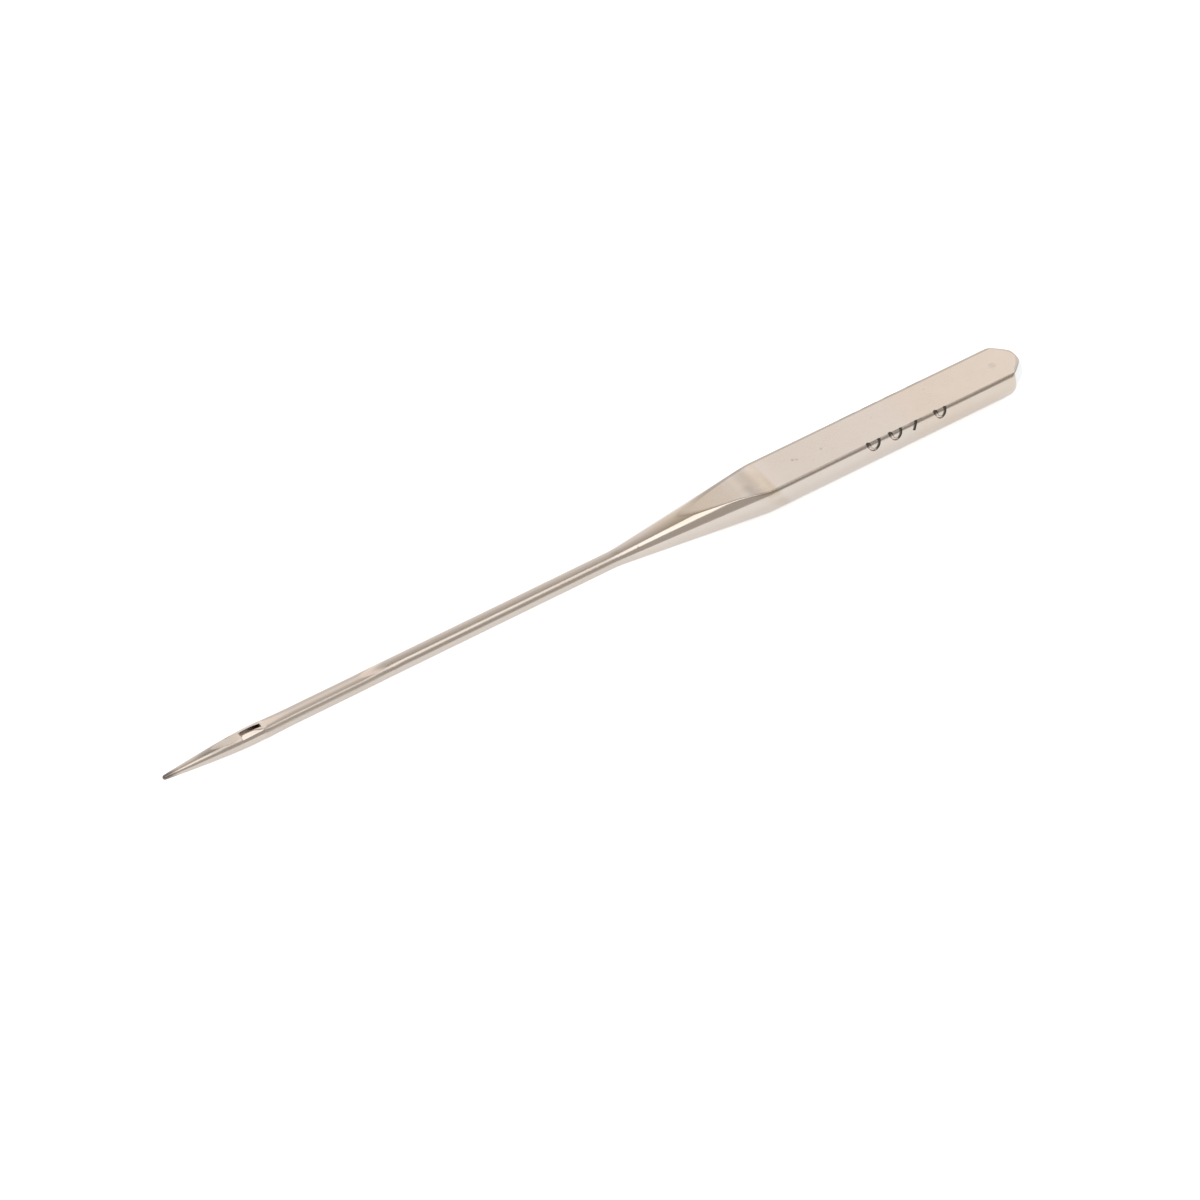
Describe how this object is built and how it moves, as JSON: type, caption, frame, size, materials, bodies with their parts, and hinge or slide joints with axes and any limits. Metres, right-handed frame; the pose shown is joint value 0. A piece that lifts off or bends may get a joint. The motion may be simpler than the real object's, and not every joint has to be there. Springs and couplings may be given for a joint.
{
  "type": "sewing machine needle",
  "caption": "Household sewing machine needle: round shank with a flat and a chamfered butt, cone, slender grooved blade with scarf and eye, sharp round point.",
  "frame": {"origin": "centre of the butt face, where the shank meets the stop inside the needle bar", "axes": "+X along the needle's axis out of the butt, so the point is towards -X; +Z out of the shank's flat, which is also the scarf's side; the long groove faces -Z"},
  "size_m": [0.0384, 0.002, 0.0017],
  "materials": {
    "nickel_plated_steel": "polished nickel plate over steel, matt on the ground flat and scarf, with a faint straw-brown heat tint on the cone"
  },
  "bodies": {
    "root": {"needle": "nickel_plated_steel"}
  },
  "joints": []
}
